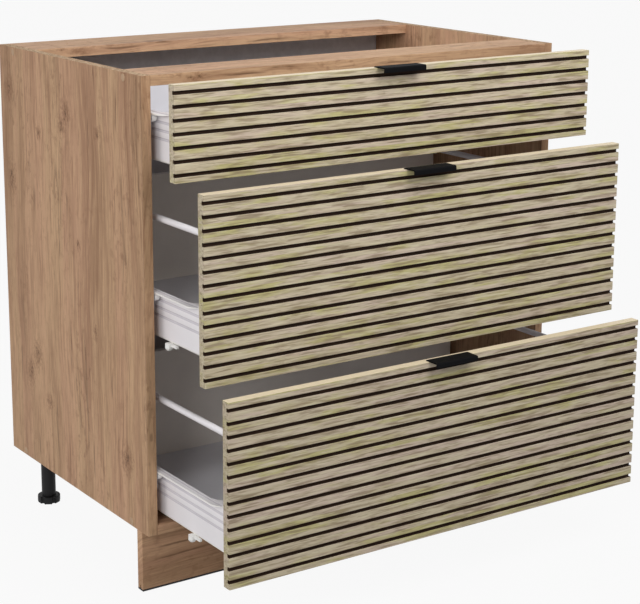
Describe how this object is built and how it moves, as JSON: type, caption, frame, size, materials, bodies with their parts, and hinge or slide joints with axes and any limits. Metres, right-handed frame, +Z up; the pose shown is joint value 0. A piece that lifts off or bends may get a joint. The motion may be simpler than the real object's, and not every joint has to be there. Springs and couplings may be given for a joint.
{
  "type": "base cabinet with drawers",
  "caption": "Kitchen base cabinet with a shallow drawer over deep ones, slatted oak fronts, steel drawer sides, plinth and levelling feet",
  "frame": {"origin": "on the floor, in the middle of the object's box with the drawers open as they stand at rest", "axes": "+Z up along the height, -Y out of the front where the drawers come, +X to the right as seen from the front"},
  "size_m": [0.8016, 0.755, 0.82],
  "materials": {
    "oak_board": "matt foil with oak grain",
    "grey_hardboard": "matt painted hardboard",
    "slatted_oak": "matt pale oak with dark grooves",
    "black_steel": "matt black powder coat",
    "white_steel": "satin white powder coat",
    "drawer_board": "matt light grey coated board",
    "white_plastic": "satin",
    "black_plastic": "fine grained",
    "black_rubber": "matt",
    "beige_plastic": "satin",
    "zinc_steel": "zinc plated"
  },
  "bodies": {
    "root": {"side_panel_left": "oak_board", "side_panel_right": "oak_board", "bottom_panel": "oak_board", "top_rail_front": "oak_board", "top_rail_rear": "oak_board", "back_panel": "grey_hardboard", "plinth": "oak_board", "plinth_seal": "black_rubber", "plinth_clips": "black_plastic", "leg_sockets": "black_plastic", "connector_screws": "zinc_steel", "cover_caps": "beige_plastic", "carcass_screws": "zinc_steel", "runner_left_top": "white_steel", "runner_right_top": "white_steel", "runner_left_middle": "white_steel", "runner_right_middle": "white_steel", "runner_left_bottom": "white_steel", "runner_right_bottom": "white_steel"},
    "foot_front_left": {"foot_front_left": "black_plastic"},
    "foot_front_right": {"foot_front_right": "black_plastic"},
    "foot_rear_left": {"foot_rear_left": "black_plastic"},
    "foot_rear_right": {"foot_rear_right": "black_plastic"},
    "drawer_top": {"front_top": "slatted_oak", "handle_top": "black_steel", "drawer_side_left_top": "white_steel", "drawer_side_right_top": "white_steel", "drawer_bottom_top": "drawer_board", "drawer_back_top": "drawer_board", "front_brackets_top": "white_steel", "bottom_clips_top": "white_plastic", "drawer_screws_top": "zinc_steel"},
    "front_rollers_top": {"front_rollers_top": "white_plastic"},
    "rear_rollers_top": {"rear_rollers_top": "white_plastic"},
    "drawer_middle": {"front_middle": "slatted_oak", "handle_middle": "black_steel", "drawer_side_left_middle": "white_steel", "drawer_side_right_middle": "white_steel", "drawer_bottom_middle": "drawer_board", "drawer_back_middle": "drawer_board", "front_brackets_middle": "white_steel", "bottom_clips_middle": "white_plastic", "drawer_screws_middle": "zinc_steel", "railings_middle": "white_steel", "railing_sockets_middle": "white_plastic"},
    "front_rollers_middle": {"front_rollers_middle": "white_plastic"},
    "rear_rollers_middle": {"rear_rollers_middle": "white_plastic"},
    "drawer_bottom": {"front_bottom": "slatted_oak", "handle_bottom": "black_steel", "drawer_side_left_bottom": "white_steel", "drawer_side_right_bottom": "white_steel", "drawer_bottom_bottom": "drawer_board", "drawer_back_bottom": "drawer_board", "front_brackets_bottom": "white_steel", "bottom_clips_bottom": "white_plastic", "drawer_screws_bottom": "zinc_steel", "railings_bottom": "white_steel", "railing_sockets_bottom": "white_plastic"},
    "front_rollers_bottom": {"front_rollers_bottom": "white_plastic"},
    "rear_rollers_bottom": {"rear_rollers_bottom": "white_plastic"}
  },
  "joints": [
    {"name": "drawer_top_slide", "type": "slide", "parent": "root", "child": "drawer_top", "axis": [0, -1, 0], "range_m": [-0.078, 0.272]},
    {"name": "drawer_middle_slide", "type": "slide", "parent": "root", "child": "drawer_middle", "axis": [0, -1, 0], "range_m": [-0.157, 0.193]},
    {"name": "drawer_bottom_slide", "type": "slide", "parent": "root", "child": "drawer_bottom", "axis": [0, -1, 0], "range_m": [-0.22, 0.13]},
    {"name": "front_rollers_top_spin", "type": "hinge", "parent": "root", "child": "front_rollers_top", "pos_m": [0, -0.1125, 0.7565], "axis": [1, 0, 0], "range_deg": [-639.4, 2227.4]},
    {"name": "rear_rollers_top_spin", "type": "hinge", "parent": "drawer_top", "child": "rear_rollers_top", "pos_m": [0, 0.2395, 0.747], "axis": [1, 0, 0], "range_deg": [-688.5, 2398.6]},
    {"name": "front_rollers_middle_spin", "type": "hinge", "parent": "root", "child": "front_rollers_middle", "pos_m": [0, -0.1125, 0.4825], "axis": [1, 0, 0], "range_deg": [-1286.1, 1580.7]},
    {"name": "rear_rollers_middle_spin", "type": "hinge", "parent": "drawer_middle", "child": "rear_rollers_middle", "pos_m": [0, 0.1605, 0.473], "axis": [1, 0, 0], "range_deg": [-1384.9, 1702.2]},
    {"name": "front_rollers_bottom_spin", "type": "hinge", "parent": "root", "child": "front_rollers_bottom", "pos_m": [0, -0.1125, 0.1955], "axis": [1, 0, 0], "range_deg": [-1801.7, 1065.1]},
    {"name": "rear_rollers_bottom_spin", "type": "hinge", "parent": "drawer_bottom", "child": "rear_rollers_bottom", "pos_m": [0, 0.0975, 0.186], "axis": [1, 0, 0], "range_deg": [-1940.2, 1146.9]},
    {"name": "foot_front_left_levelling", "type": "slide", "parent": "root", "child": "foot_front_left", "axis": [0, 0, -1], "range_m": [0, 0.02]},
    {"name": "foot_front_right_levelling", "type": "slide", "parent": "root", "child": "foot_front_right", "axis": [0, 0, -1], "range_m": [0, 0.02]},
    {"name": "foot_rear_left_levelling", "type": "slide", "parent": "root", "child": "foot_rear_left", "axis": [0, 0, -1], "range_m": [0, 0.02]},
    {"name": "foot_rear_right_levelling", "type": "slide", "parent": "root", "child": "foot_rear_right", "axis": [0, 0, -1], "range_m": [0, 0.02]}
  ],
  "couplings": [
    {"joint": "front_rollers_top_spin", "follows": "drawer_top_slide", "rad_per_m": 142.86},
    {"joint": "rear_rollers_top_spin", "follows": "drawer_top_slide", "rad_per_m": 153.85},
    {"joint": "front_rollers_middle_spin", "follows": "drawer_middle_slide", "rad_per_m": 142.86},
    {"joint": "rear_rollers_middle_spin", "follows": "drawer_middle_slide", "rad_per_m": 153.85},
    {"joint": "front_rollers_bottom_spin", "follows": "drawer_bottom_slide", "rad_per_m": 142.86},
    {"joint": "rear_rollers_bottom_spin", "follows": "drawer_bottom_slide", "rad_per_m": 153.85}
  ]
}
